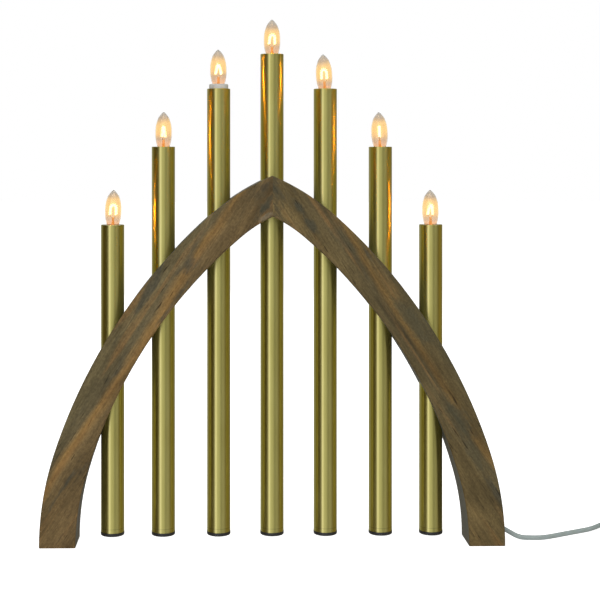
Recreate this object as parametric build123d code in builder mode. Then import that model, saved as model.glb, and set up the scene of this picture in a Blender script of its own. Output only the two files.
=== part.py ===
"""Electric candle arch: two sawn wooden halves meet in a pointed arch, and seven brass tubes stand
through it. Each tube holds a lampholder with a small screw bulb, wired in series to a mains cord.

Millimetres and degrees. The origin is on the table, midway between the feet and midway through the
wood. +Z is up, +X is to the right seen from the front, and the front faces -Y.
"""

import os
from math import acos, ceil, cos, degrees, pi, radians, sin, sqrt, tan

from build123d import *

os.makedirs("parts", exist_ok=True)

# Fits
cut_overrun = 1.0
glue_gap = 0.05

# Wooden arch: each edge rises from the foot in three tangent arcs, foot, leg and crown, and ends at the
# centre plane. The arcs' radii are shares of the arch's width.
arch_width = 437.0
arch_thickness = 42.0
foot_width = 34.0
outer_radius_shares = (0.6476, 1.1670, 0.4897)
outer_turns = (18.1, 30.2)
inner_radius_shares = (0.5309, 1.0698, 0.3043)
inner_turns = (16.2, 33.4)
edge_easing = 1.0

# Dowels across the mitre at the top, in the wood in front of the middle tube
dowel_diameter = 5.0
dowel_length = 36.0
dowel_rise = 7.0
dowel_pitch = 12.0

# Wiring groove in the back of the arch with its cover strip, and the cord chamber in the right foot
groove_inset = 17.0
groove_width = 8.0
groove_depth = 7.0
groove_tail = 14.0
strip_thickness = 2.5
chamber_inset = 14.5
chamber_width = 16.0
chamber_height = 36.0
chamber_bottom = 10.0
chamber_depth = 27.0

# Tubes, numbered from the left, and their end plugs. The offsets are shares of the arch's width.
tube_diameter = 22.0
tube_wall = 1.0
tube_rim_easing = 0.4
tube_foot_height = 10.5
tube_offset_shares = (0.11602, 0.23616, 0.34622)
centre_tube_top = 463.0
inner_tube_top = 430.0
middle_tube_top = 375.0
outer_tube_top = 301.0
bore_clearance = 0.2
wire_hole_diameter = 6.2
end_plug_lip = 0.2
end_plug_flange = 3.2
end_plug_easing = 0.9
end_plug_spigot = 9.0
end_plug_wall = 1.6

# Lampholder and its threaded shell, measured down from the holder's top face
holder_clearance = 0.9
holder_height = 32.0
holder_easing = 0.6
holder_easing_share = 0.25
holder_mouth_diameter = 13.4
holder_ledge_depth = 5.7
holder_floor_depth = 16.3
holder_floor_thickness = 2.5
holder_skirt_wall = 1.6
holder_3_proud = 4.4
rib_width = 1.2
rib_count = 4
rib_start_depth = 6.0
rib_length = 23.0
shell_bore_diameter = 10.1
shell_wall = 0.45
shell_flange_diameter = 12.4
shell_flange_thickness = 0.5
shell_length = 9.0
terminal_width = 2.0
terminal_depth = 21.5
terminal_offset = 1.5

# Sprung centre contact under the bulb
contact_head_diameter = 5.2
contact_thickness = 0.5
contact_stem_back = 3.7
contact_gap = 0.05
contact_clearance = 0.25

# Bulb: glass measured up from the holder's top face, cap measured down from it
bulb_height = 33.2
bulb_diameter = 15.5
bulb_belly_height = 13.0
bulb_shoulder_diameter = 10.8
bulb_shoulder_height = 26.6
bulb_tip_diameter = 1.4
bulb_neck_diameter = 8.6
bulb_neck_depth = 4.5
bulb_neck_length = 5.0
glass_wall = 0.6
cap_diameter = 9.5
cap_wall = 0.35
cap_top_depth = 4.4
cap_skirt_length = 8.0
cap_base_diameter = 4.6
cap_base_depth = 14.4
cap_tip_diameter = 3.8
cap_tip_depth = 15.4
stem_diameter = 2.8
stem_height = 3.0
stem_flare_thickness = 1.2
filament_wire_diameter = 0.5
filament_lead_spread = 0.9
filament_lead_sunk = 2.8
filament_foot_height = 9.0
filament_foot_spread = 2.8
filament_top_height = 20.2
filament_bend_radius = 0.9

# Insulated wires of the series circuit
wire_diameter = 1.6
wire_spread = 1.5
wire_back = 4.4
wire_end_gap = 0.3
wire_bend_radius = 2.4
wire_step_turn = 8.0
link_wire_inset = 18.0
return_wire_inset = 14.4
core_spread = 0.95
supply_core_reach = 3.4
return_core_reach = 2.2
core_rise = 22.0
core_lead_in = 33.0

# Mains cord, its stop inside the leg, and the coil that puts its length away. The cord's steps are
# measured from the right foot's outer edge, with the height of the cord's underside.
cord_diameter = 4.5
cord_hole_clearance = 0.3
cord_exit_height = 12.5
cord_exit_slope = 22.0
cord_end_inset = 15.5
cord_stop_diameter = 8.0
cord_stop_length = 4.0
lead_steps = [
    (-15.5, 0.0, 16.41),
    (1.5, 0.0, 9.54),
    (17.0, 0.8, 2.65),
    (32.5, 4.2, 0.0),
    (51.5, 9.3, 0.0),
    (71.5, 22.0, 0.0),
    (92.5, 34.6, 0.05),
    (112.7, 45.8, 1.2),
    (130.0, 55.8, 1.2),
]
coil_inner_radius = 19.2
coil_turn_step = 6.0
coil_layer_step = 5.0
coil_layers = 4
coil_spans_per_layer = 10
coil_turns = 10.08
tie_turn = 180.0
tie_width = 9.0
tie_thickness = 0.8
tie_gap = 0.3
tie_side_gap = 0.6
tie_corner = 2.0
tail_steps = [
    (169.5, 62.87, 16.2),
    (186.5, 62.6, 9.95),
    (202.5, 61.2, 5.35),
    (216.5, 60.6, 4.7),
    (229.0, 60.6, 4.7),
]

# Flat two-pin plug
plug_length = 34.0
plug_width = 35.0
plug_height = 13.7
plug_face_length = 8.0
plug_waist_width = 25.0
plug_waist_length = 17.0
plug_rear_width = 13.0
plug_rear_height = 10.5
plug_corner = 3.0
plug_edge_rounding = 1.5
relief_length = 20.0
relief_rear_diameter = 6.2
relief_front_diameter = 9.0
relief_ring_count = 4
relief_ring_depth = 0.8
relief_ring_width = 2.0
pin_diameter = 4.0
pin_sleeve_diameter = 3.8
pin_length = 19.0
pin_sleeve_length = 10.0
pin_seat_depth = 8.0
pin_spacing = 18.6
pin_rounding = 1.2

half_thickness = arch_thickness / 2
tube_bore_radius = tube_diameter / 2 - tube_wall
holder_radius = tube_bore_radius - holder_clearance
arch_bore_radius = tube_diameter / 2 + bore_clearance
cord_radius = cord_diameter / 2
cord_route, tail_route = (
    [(arch_width / 2 + out, back, cord_radius + height) for out, back, height in steps]
    for steps in (lead_steps, tail_steps)
)
channel_back = half_thickness - (groove_depth + strip_thickness) / 2
chamber_x = arch_width / 2 - chamber_inset
chamber_middle = chamber_bottom + chamber_height / 2
back_plane = Plane.XZ.offset(-half_thickness)
inner_tube_x, middle_tube_x, outer_tube_x = (arch_width * share for share in tube_offset_shares)
right_tubes = [
    (0, centre_tube_top),
    (inner_tube_x, inner_tube_top),
    (middle_tube_x, middle_tube_top),
    (outer_tube_x, outer_tube_top),
]
tubes = [(-x, top) for x, top in reversed(right_tubes[1:])] + right_tubes
holder_lifts = [holder_3_proud if number == 2 else 0 for number in range(len(tubes))]


def write(piece, name):
    """Label a finished piece and write it as a node of its own."""
    piece.label = name
    export_step(piece, f"parts/{name}.step")


# Edges of the arch
def rising_arcs(start_x, radius_shares, turns):
    """Centre, radius, start and end angle of an edge's three arcs, from the foot to the centre plane."""
    arcs = []
    x, z, angle = start_x, 0, 0
    *lower_radii, crown_radius = (arch_width * share for share in radius_shares)
    for radius, turn in zip(lower_radii, turns):
        centre = (x - radius * cos(angle), z - radius * sin(angle))
        arcs.append((centre, radius, angle, angle + radians(turn)))
        angle += radians(turn)
        x, z = centre[0] + radius * cos(angle), centre[1] + radius * sin(angle)
    centre = (x - crown_radius * cos(angle), z - crown_radius * sin(angle))
    arcs.append((centre, crown_radius, angle, acos(-centre[0] / crown_radius)))
    return arcs


def inset_arcs(arcs, inset, overrun=0):
    """The same edge moved inwards by inset, on the same centres, to an overrun past the centre plane."""
    moved = [(centre, radius - inset, start, end) for centre, radius, start, end in arcs]
    centre, radius, start, _ = moved[-1]
    return [*moved[:-1], (centre, radius, start, acos((-overrun - centre[0]) / radius))]


def angle_at(arcs, x):
    """Angle, along an edge, of the point at a distance x from the centre plane."""
    for (centre_x, _), radius, start, _ in reversed(arcs):
        if x <= centre_x + radius * cos(start):
            break
    return acos((x - centre_x) / radius)


def point_at(arcs, angle):
    """Distance from the centre plane, and height, of the point at an angle along an edge."""
    for (centre_x, centre_z), radius, start, _ in reversed(arcs):
        if angle >= start:
            break
    return centre_x + radius * cos(angle), centre_z + radius * sin(angle)


def draw_band(outer, inner):
    """Draw the closed outline between two edges of the right half, in the open sketch."""
    with BuildLine() as outline:
        for edge in (outer, inner):
            for centre, radius, start, end in edge:
                CenterArc(centre, radius, degrees(start), degrees(end - start))
        Line(point_at(outer, 0), point_at(inner, 0))
        Line(point_at(outer, outer[-1][3]), point_at(inner, inner[-1][3]))
    make_face(outline.edges())


outer_edge = rising_arcs(arch_width / 2, outer_radius_shares, outer_turns)
inner_edge = rising_arcs(arch_width / 2 - foot_width, inner_radius_shares, inner_turns)
_, outer_foot_radius, _, _ = outer_edge[0]
groove_edge = inset_arcs(outer_edge, groove_inset)
link_edge = inset_arcs(outer_edge, link_wire_inset)
return_edge = inset_arcs(outer_edge, return_wire_inset)
_, apex_height = point_at(outer_edge, outer_edge[-1][3])
_, inner_apex_height = point_at(inner_edge, inner_edge[-1][3])
wire_hole_heights = [point_at(link_edge, angle_at(link_edge, abs(x)))[1] for x, _ in tubes]
dowel_back = (half_thickness + arch_bore_radius) / 2
dowel_heights = [inner_apex_height + dowel_rise, inner_apex_height + dowel_rise + dowel_pitch]

# Cord entry: a hole slants down and out of the right foot
slope = radians(cord_exit_slope)
cord_exit_x, _ = point_at(outer_edge, cord_exit_height / outer_foot_radius)
into_leg = Vector(-cos(slope), 0, sin(slope))
cord_exit = Vector(cord_exit_x, 0, cord_exit_height)
cord_end = cord_exit + into_leg * ((cord_exit_x - arch_width / 2 + cord_end_inset) / cos(slope))


# Wooden halves and the strips that close the wiring groove
def draw_groove(to_chamber, gap):
    """Draw the wiring groove of a right half, a gap smaller all round, in the open sketch."""
    half_width = groove_width / 2 - gap
    draw_band(inset_arcs(groove_edge, -half_width), inset_arcs(groove_edge, half_width))
    _, tail_height = point_at(groove_edge, angle_at(groove_edge, outer_tube_x))
    end_height = chamber_middle if to_chamber else tail_height - groove_tail + gap
    with Locations((arch_width / 2, end_height)):
        Rectangle(2 * arch_width, arch_width, align=(Align.CENTER, Align.MAX), mode=Mode.SUBTRACT)
    if gap:
        Rectangle(gap, apex_height, align=(Align.MIN, Align.MIN), mode=Mode.SUBTRACT)
    if to_chamber:
        with Locations((chamber_x, chamber_middle)):
            SlotOverall(chamber_height - 2 * gap, chamber_width - 2 * gap, rotation=90)


def arch_half(to_chamber):
    """A right half: sawn outline, eased edges, candle bores, dowel holes and wiring groove."""
    with BuildPart() as half:
        with BuildSketch(Plane.XZ):
            draw_band(inset_arcs(outer_edge, 0, cut_overrun), inset_arcs(inner_edge, 0, cut_overrun))
        extrude(amount=half_thickness, both=True)
        chamfer(half.edges().filter_by(GeomType.CIRCLE), edge_easing)
        split(bisect_by=Plane.YZ, keep=Keep.TOP)
        for x, _ in right_tubes:
            with BuildSketch(Plane((x, 0, -cut_overrun))):
                Circle(arch_bore_radius)
            extrude(amount=apex_height + 2 * cut_overrun, mode=Mode.SUBTRACT)
        with BuildSketch(Plane.YZ):
            with Locations(*((-dowel_back, height) for height in dowel_heights)):
                Circle(dowel_diameter / 2 + glue_gap)
        extrude(amount=dowel_length / 2 + glue_gap, mode=Mode.SUBTRACT)
        with BuildSketch(back_plane):
            draw_groove(to_chamber, 0)
        extrude(amount=groove_depth, mode=Mode.SUBTRACT)
        with BuildSketch(back_plane.offset(groove_depth)):
            with Locations(*((x, height) for (x, _), height in zip(tubes[3:], wire_hole_heights[3:]))):
                Circle(wire_hole_diameter / 2)
        extrude(amount=half_thickness - groove_depth, mode=Mode.SUBTRACT)
        if to_chamber:
            with BuildSketch(back_plane):
                with Locations((chamber_x, chamber_middle)):
                    SlotOverall(chamber_height, chamber_width, rotation=90)
            extrude(amount=chamber_depth, mode=Mode.SUBTRACT)
            with BuildSketch(Plane(cord_exit - into_leg * cord_diameter, z_dir=into_leg)):
                Circle(cord_radius + cord_hole_clearance)
            extrude(amount=cord_diameter + cord_end_inset, mode=Mode.SUBTRACT)
    return half.part


def groove_strip(to_chamber):
    """The strip glued flush into the groove of a right half."""
    with BuildPart() as strip:
        with BuildSketch(back_plane):
            draw_groove(to_chamber, glue_gap)
        extrude(amount=strip_thickness)
    return strip.part


write(arch_half(True), "arch_right_half")
write(mirror(arch_half(False), about=Plane.YZ), "arch_left_half")
write(groove_strip(True), "back_strip_right")
write(mirror(groove_strip(False), about=Plane.YZ), "back_strip_left")

with BuildPart() as apex_dowels:
    with BuildSketch(Plane.YZ.offset(-dowel_length / 2)):
        with Locations(*((-dowel_back, height) for height in dowel_heights)):
            Circle(dowel_diameter / 2)
    extrude(amount=dowel_length)
write(apex_dowels.part, "apex_dowels")


# Brass tubes and the black plugs that close their lower ends
for number, ((x, top), wire_hole_height) in enumerate(zip(tubes, wire_hole_heights), start=1):
    with BuildPart() as tube:
        with BuildSketch(Plane((x, 0, tube_foot_height))):
            Circle(tube_diameter / 2)
            Circle(tube_bore_radius, mode=Mode.SUBTRACT)
        extrude(amount=top - tube_foot_height)
        chamfer(tube.edges().group_by(Axis.Z)[-1], tube_rim_easing)
        with BuildSketch(Plane.XZ):
            with Locations((x, wire_hole_height)):
                Circle(wire_hole_diameter / 2)
        extrude(amount=-tube_diameter, mode=Mode.SUBTRACT)
    write(tube.part, f"tube_{number}")

with BuildPart() as tube_end_plugs:
    for x, _ in tubes:
        with BuildSketch(Plane((x, 0, tube_foot_height))):
            Circle(tube_diameter / 2 + end_plug_lip)
        extrude(amount=-end_plug_flange)
        with BuildSketch(Plane((x, 0, tube_foot_height))):
            Circle(tube_bore_radius - glue_gap)
            Circle(tube_bore_radius - glue_gap - end_plug_wall, mode=Mode.SUBTRACT)
        extrude(amount=end_plug_spigot)
    chamfer(tube_end_plugs.edges().group_by(Axis.Z)[0], end_plug_easing)
write(tube_end_plugs.part, "tube_end_plugs")


# Round bars along straight runs and tangent arcs
def bend_radii(route, largest=None):
    """The radius at each corner of a route: as large as its two runs allow, or the largest given."""
    run_share = 0.45
    radii = []
    for before, corner, after in zip(route, route[1:], route[2:]):
        arriving, leaving = Vector(corner) - Vector(before), Vector(after) - Vector(corner)
        half_turn = radians(arriving.get_angle(leaving)) / 2
        radius = run_share * min(arriving.length, leaving.length) / tan(half_turn)
        radii.append(min(radius, largest) if largest else radius)
    return radii


def sweep_round(route, radii, diameter):
    """Sweep a round section along a route, in the open part, and return the swept length."""
    with BuildLine() as line:
        FilletPolyline(*route, radius=radii)
    path = line.wire()
    with BuildSketch(Plane(path @ 0, z_dir=path % 0)) as section:
        Circle(diameter / 2)
    sweep(section.sketch, path=path)
    return path.length


# Lampholders, their threaded shells and sprung contacts
def lamp_plane(x, seat):
    """Plane for the half section of a lamp: distance from its axis, and height above the holder's top."""
    return Plane((x, 0, seat), x_dir=(1, 0, 0), z_dir=(0, -1, 0))


def lamp_axis(x, seat):
    return Axis((x, 0, seat), (0, 0, 1))


contact_depth = cap_tip_depth + contact_gap
shell_radius = shell_bore_diameter / 2 + shell_wall


def lamp_holder(x, seat):
    with BuildPart() as holder:
        with BuildSketch(lamp_plane(x, seat)):
            with BuildLine():
                Polyline(
                    (holder_radius, 0),
                    (holder_radius, -holder_height),
                    (holder_radius - holder_skirt_wall, -holder_height),
                    (holder_radius - holder_skirt_wall, -holder_floor_depth - holder_floor_thickness),
                    (0, -holder_floor_depth - holder_floor_thickness),
                    (0, -holder_floor_depth),
                    (shell_radius + glue_gap, -holder_floor_depth),
                    (shell_radius + glue_gap, -holder_ledge_depth),
                    (shell_flange_diameter / 2 + glue_gap, -holder_ledge_depth),
                    (shell_flange_diameter / 2 + glue_gap, shell_flange_thickness - holder_ledge_depth),
                    (holder_mouth_diameter / 2, 0),
                    close=True,
                )
            make_face()
        revolve(axis=lamp_axis(x, seat))
        rim_width = holder_radius - holder_mouth_diameter / 2
        rim_easing = min(holder_easing, rim_width * holder_easing_share)
        chamfer(holder.edges().group_by(Axis.Z)[-1], rim_easing)
        rib_reach = tube_bore_radius - glue_gap
        rib_depth = rib_reach - holder_radius + holder_skirt_wall / 2
        with BuildSketch(Plane((x, 0, seat - rib_start_depth))):
            with PolarLocations(rib_reach - rib_depth / 2, rib_count):
                Rectangle(rib_depth, rib_width)
        extrude(amount=-rib_length)
        with BuildSketch(Plane((x, 0, seat - holder_floor_depth))):
            with Locations((terminal_offset, contact_stem_back)):
                Rectangle(terminal_width + 2 * contact_clearance, contact_thickness + 2 * contact_clearance)
            with Locations((-terminal_offset, shell_radius)):
                Rectangle(terminal_width + 2 * glue_gap, 2 * shell_wall + 2 * glue_gap)
        extrude(amount=-holder_floor_thickness, mode=Mode.SUBTRACT)
    return holder.part


def screw_shell(x, seat):
    """A shell that takes the bulb's thread, its flange on the ledge and its soldering tab below."""
    flange_top = seat - holder_ledge_depth + shell_flange_thickness
    with BuildPart() as shell:
        with BuildSketch(Plane((x, 0, flange_top))):
            Circle(shell_flange_diameter / 2)
        extrude(amount=-shell_flange_thickness)
        with BuildSketch(Plane((x, 0, flange_top))):
            Circle(shell_radius)
        extrude(amount=-shell_length)
        with BuildSketch(Plane((x, 0, flange_top))):
            with Locations((-terminal_offset, shell_radius)):
                Rectangle(terminal_width, 2 * shell_wall)
            Circle(shell_radius, mode=Mode.INTERSECT)
        extrude(amount=seat - terminal_depth - flange_top)
        with BuildSketch(Plane((x, 0, flange_top))):
            Circle(shell_bore_diameter / 2)
        extrude(amount=-terminal_depth, mode=Mode.SUBTRACT)
    return shell.part


def centre_contact(x, seat):
    with BuildPart() as contact:
        with BuildSketch(Plane((x, 0, seat - contact_depth))):
            Circle(contact_head_diameter / 2)
            with Locations((terminal_offset, 0)):
                Rectangle(
                    terminal_width,
                    contact_stem_back + contact_thickness / 2,
                    align=(Align.CENTER, Align.MIN),
                )
        extrude(amount=-contact_thickness)
        with BuildSketch(Plane((x, 0, seat - contact_depth))):
            with Locations((terminal_offset, contact_stem_back)):
                Rectangle(terminal_width, contact_thickness)
        extrude(amount=contact_depth - terminal_depth)
    return contact.part


# Bulbs
def draw_glass(inset, neck_end):
    """Draw the half outline of the glass, moved inwards by inset, in the open sketch."""
    neck = (bulb_neck_diameter / 2 - inset, -bulb_neck_depth)
    belly = (bulb_diameter / 2 - inset, bulb_belly_height)
    shoulder = (bulb_shoulder_diameter / 2 - inset, bulb_shoulder_height)
    tip = (bulb_tip_diameter / 2, bulb_height - inset)
    with BuildLine() as outline:
        Polyline((0, tip[1]), (0, neck_end), (neck[0], neck_end), neck)
        TangentArc(belly, neck, tangent=(0, -1))
        flank = TangentArc(belly, shoulder, tangent=(0, 1))
        TangentArc(shoulder, tip, tangent=flank % 1)
        Line(tip, (0, tip[1]))
    make_face(outline.edges())


def bulb_glass(x, seat):
    neck_end = -bulb_neck_depth - bulb_neck_length
    with BuildPart() as glass:
        with BuildSketch(lamp_plane(x, seat)):
            draw_glass(0, neck_end)
        revolve(axis=lamp_axis(x, seat))
        with BuildSketch(lamp_plane(x, seat)):
            draw_glass(glass_wall, neck_end - cut_overrun)
        revolve(axis=lamp_axis(x, seat), mode=Mode.SUBTRACT)
    return glass.part


def bulb_cap(x, seat):
    cap_bore = cap_diameter / 2 - cap_wall
    skirt_end = cap_top_depth + cap_skirt_length
    with BuildPart() as cap:
        with BuildSketch(lamp_plane(x, seat)):
            with BuildLine():
                Polyline(
                    (cap_diameter / 2, -cap_top_depth),
                    (cap_diameter / 2, -skirt_end),
                    (cap_base_diameter / 2, -cap_base_depth),
                    (cap_tip_diameter / 2, -cap_base_depth),
                    (cap_tip_diameter / 2, -cap_tip_depth),
                    (0, -cap_tip_depth),
                    (0, -skirt_end),
                    (cap_bore, -skirt_end),
                    (cap_bore, -cap_top_depth),
                    close=True,
                )
            make_face()
        revolve(axis=lamp_axis(x, seat))
    return cap.part


def bulb_filament(x, seat):
    """Glass stem with its flare in the neck, two lead wires and the filament strung between them."""
    flare_depth = bulb_neck_depth + bulb_neck_length
    flare_radius = bulb_neck_diameter / 2 - glass_wall - glue_gap
    with BuildPart() as filament:
        with BuildSketch(lamp_plane(x, seat)):
            Rectangle(flare_radius, stem_flare_thickness, align=(Align.MIN, Align.MIN))
            Rectangle(stem_diameter / 2, flare_depth + stem_height, align=(Align.MIN, Align.MIN))
        revolve(axis=lamp_axis(x, seat))
    filament.part.move(Location((0, 0, -flare_depth)))
    right = [
        (filament_lead_spread, stem_height - filament_lead_sunk),
        (filament_foot_spread, filament_foot_height),
        (0, filament_top_height),
    ]
    route = [(x - spread, 0, seat + height) for spread, height in right]
    route += [(x + spread, 0, seat + height) for spread, height in reversed(right[:-1])]
    with BuildPart() as strung:
        add(filament.part)
        sweep_round(route, bend_radii(route, filament_bend_radius), filament_wire_diameter)
    return strung.part


for number, ((x, top), lift) in enumerate(zip(tubes, holder_lifts), start=1):
    write(lamp_holder(x, top + lift), f"lamp_holder_{number}")
    write(centre_contact(x, top + lift), f"centre_contact_{number}")
    write(bulb_glass(x, top + lift), f"bulb_glass_{number}")
    write(bulb_cap(x, top + lift), f"bulb_cap_{number}")
    write(bulb_filament(x, top + lift), f"bulb_filament_{number}")

with BuildPart() as screw_shells:
    for (x, top), lift in zip(tubes, holder_lifts):
        add(screw_shell(x, top + lift))
write(screw_shells.part, "screw_shells")


# Wires: the supply core runs up to the right-hand lamp, links join lamp to lamp, and the return
# core runs back along the groove from the left-hand lamp
def edge_run(arcs, start, end, side):
    """Points along a groove edge between two angles, on the right (1) or left (-1), ends left out."""
    count = ceil(abs(end - start) / radians(wire_step_turn))
    places = [point_at(arcs, start + (end - start) * step / count) for step in range(1, count)]
    return [(side * x, channel_back, z) for x, z in places]


def tube_drop(number, side):
    """Points of the wire in a tube, from its terminal to the groove, on the tube's left (-1) or right (1)."""
    x, top = tubes[number]
    wire_x = x + side * wire_spread
    outward = side if x >= 0 else -side
    angle = angle_at(link_edge, abs(x)) - outward * wire_spread / link_edge[1][1]
    _, height = point_at(link_edge, angle)
    end = top + holder_lifts[number] - terminal_depth - wire_end_gap
    return [(wire_x, wire_back, end), (wire_x, wire_back, height), (wire_x, channel_back, height)]


def link_angle(number):
    return angle_at(link_edge, abs(tubes[number][0]))


def core_points(side, reach, edge):
    """Points of a cord core from the end of the sheath to the groove, in front (-1) or behind (1)."""
    spread = Vector(0, side * core_spread, 0)
    start = cord_end + into_leg * glue_gap + spread
    bend = cord_end + into_leg * reach + spread
    rise_x, rise_z = point_at(edge, (bend.Z + core_rise / 2) / outer_foot_radius)
    turn_x, turn_z = point_at(edge, (bend.Z + core_rise) / outer_foot_radius)
    return [start, bend, (rise_x, bend.Y, rise_z), (turn_x, channel_back, turn_z)]


last = len(tubes) - 1
centre = last // 2
with BuildPart() as link_wires:
    for number in range(last):
        side = -1 if number < centre else 1
        between = edge_run(link_edge, link_angle(number), link_angle(number + 1), side)
        route = tube_drop(number, 1) + between + tube_drop(number + 1, -1)[::-1]
        sweep_round(route, bend_radii(route, wire_bend_radius), wire_diameter)
write(link_wires.part, "link_wires")

with BuildPart() as supply_wires:
    route = core_points(-1, supply_core_reach, link_edge)
    route += edge_run(link_edge, (route[-1][2] + core_lead_in / 2) / outer_foot_radius, link_angle(last), 1)
    route += tube_drop(last, 1)[::-1]
    sweep_round(route, bend_radii(route, wire_bend_radius), wire_diameter)
    first_angle = link_angle(0)
    apex_angle = return_edge[-1][3]
    side_x, side_z = point_at(return_edge, first_angle - wire_spread / link_edge[1][1])
    route = tube_drop(0, -1) + [(-side_x, channel_back, side_z)]
    route += edge_run(return_edge, first_angle, apex_angle, -1)
    route += [(0, channel_back, point_at(return_edge, apex_angle)[1])]
    core = core_points(1, return_core_reach, return_edge)
    core_angle = (core[-1][2] + core_lead_in / 2) / outer_foot_radius
    route += edge_run(return_edge, apex_angle, core_angle, 1) + core[::-1]
    sweep_round(route, bend_radii(route, wire_bend_radius), wire_diameter)
write(supply_wires.part, "supply_wires")

# Cord stop: a collar crimped on the sheath inside the chamber, too wide for the hole
with BuildPart() as cord_stop:
    with BuildSketch(Plane(cord_end - into_leg * cord_stop_length - into_leg * glue_gap, z_dir=into_leg)):
        Circle(cord_stop_diameter / 2)
        Circle(cord_radius + glue_gap, mode=Mode.SUBTRACT)
    extrude(amount=cord_stop_length)
write(cord_stop.part, "cord_stop")

# Mains cord from the chamber to the coil
with BuildPart() as cord_lead:
    lead_radii = bend_radii(cord_route)
    lead_length = sweep_round(cord_route, lead_radii, cord_diameter)
write(cord_lead.part, "cord_lead")


# Coil: the cord spirals in and out, layer on layer, and climbs in the half turn where it reverses
def spiral_places():
    """Radius, angle and height at each end of a quarter-turn span, clockwise seen from above."""
    spans = coil_layers * coil_spans_per_layer
    span_turn = 2 * pi * coil_turns / spans
    reverse_radius = coil_inner_radius + coil_turn_step * (coil_spans_per_layer - 2) * span_turn / (2 * pi)
    places, radius, height = [], reverse_radius + coil_turn_step * span_turn / (2 * pi), 0
    for span in range(spans):
        places.append((radius, span * span_turn, height))
        layer, place = divmod(span, coil_spans_per_layer)
        climbing = (place == 0 and layer > 0) or (place == coil_spans_per_layer - 1 and layer < coil_layers - 1)
        if climbing:
            height += coil_layer_step / 2
        else:
            inward = 1 if layer % 2 == 0 else -1
            radius -= inward * coil_turn_step * span_turn / (2 * pi)
    return [*places, (radius, spans * span_turn, height)]


def coil_outward(angle):
    """Direction from the coil's middle to the cord, at an angle turned since the cord came in."""
    return coil_side * -cos(angle) + coil_heading * sin(angle)


def coil_onward(angle):
    """Direction in which the cord runs round, at an angle turned since it came in."""
    return coil_side * sin(angle) + coil_heading * cos(angle)


def coil_tangent(before, here, after):
    turned = after[1] - before[1]
    inward = coil_outward(here[1]) * ((after[0] - before[0]) / turned)
    climb = Vector(0, 0, (after[2] - before[2]) / turned)
    return (coil_onward(here[1]) * here[0] + inward + climb).normalized()


def draw_coil(places):
    """Draw the coil as one biarc to each span, with a straight cord diameter at each end."""
    points = [coil_middle + coil_outward(angle) * radius + Vector(0, 0, rise) for radius, angle, rise in places]
    tangents = [coil_tangent(*three) for three in zip(places, places[1:], places[2:])]
    tangents = [coil_heading, *tangents, coil_onward(places[-1][1])]
    Line(points[0] - coil_heading * cord_diameter, points[0])
    for start, end, leaving, arriving in zip(points, points[1:], tangents, tangents[1:]):
        chord, both = end - start, leaving + arriving
        bend = 1 - leaving.dot(arriving)
        reach = (sqrt(chord.dot(both) ** 2 + 2 * bend * chord.dot(chord)) - chord.dot(both)) / (2 * bend)
        join = (start + leaving * reach + end - arriving * reach) / 2
        TangentArc(start, join, tangent=leaving)
        TangentArc(join, end, tangent=end - arriving * reach - start - leaving * reach)
    Line(points[-1], points[-1] + tangents[-1] * cord_diameter)


def least_gap(line, diameter):
    """Least gap between parts of a bar that lie at least half a turn of the coil apart along it."""
    step = diameter / 3
    count = ceil(line.length / step)
    points = [line @ (number / count) for number in range(count + 1)]
    apart = ceil(pi * coil_inner_radius / step)
    return min(
        (points[second] - points[first]).length
        for first in range(len(points))
        for second in range(first + apart, len(points))
    ) - diameter


coil_places = spiral_places()
coil_heading = (Vector(cord_route[-1]) - Vector(cord_route[-2])).normalized()
coil_side = coil_heading.cross(Vector(0, 0, 1))
coil_middle = Vector(cord_route[-1]) + coil_heading * cord_diameter + coil_side * coil_places[0][0]
with BuildPart() as cord_coil:
    with BuildLine() as coil_line:
        draw_coil(coil_places)
    coil_path = coil_line.wire()
    with BuildSketch(Plane(coil_path @ 0, z_dir=coil_path % 0)):
        Circle(cord_radius)
    sweep(path=coil_path)
write(cord_coil.part, "cord_coil")
coil_length = coil_path.length


# Tie: a strap closed round the coil's turns
def radii_across(places, angle):
    """Radii at which the coil's turns cross one direction from its middle."""
    found = []
    for (radius, start, _), (next_radius, end, _) in zip(places, places[1:]):
        share = (angle + 2 * pi * ceil((start - angle) / (2 * pi)) - start) / (end - start)
        if share <= 1:
            found.append(radius + (next_radius - radius) * share)
    return found


tie_angle = radians(tie_turn)
tie_radii = radii_across(coil_places, tie_angle)
tie_inside = sqrt((min(tie_radii) - cord_radius) ** 2 - (tie_width / 2) ** 2) - tie_side_gap
tie_outside = max(tie_radii) + cord_radius + tie_side_gap
tie_height = coil_places[-1][2] + cord_diameter + 2 * tie_gap
with BuildPart() as cord_tie:
    with BuildSketch(Plane(coil_middle, x_dir=coil_outward(tie_angle), z_dir=coil_onward(tie_angle))):
        with Locations(((tie_inside + tie_outside) / 2, coil_places[-1][2] / 2)):
            RectangleRounded(
                tie_outside - tie_inside + 2 * tie_thickness,
                tie_height + 2 * tie_thickness,
                tie_corner,
            )
            RectangleRounded(
                tie_outside - tie_inside,
                tie_height,
                tie_corner - tie_thickness,
                mode=Mode.SUBTRACT,
            )
    extrude(amount=tie_width / 2, both=True)
write(cord_tie.part, "cord_tie")

# Mains cord from the coil to the plug
with BuildPart() as cord_tail:
    tail_points = [coil_path @ 1, *tail_route]
    tail_radii = bend_radii(tail_points)
    tail_length = sweep_round(tail_points, tail_radii, cord_diameter)
write(cord_tail.part, "cord_tail")

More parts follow.
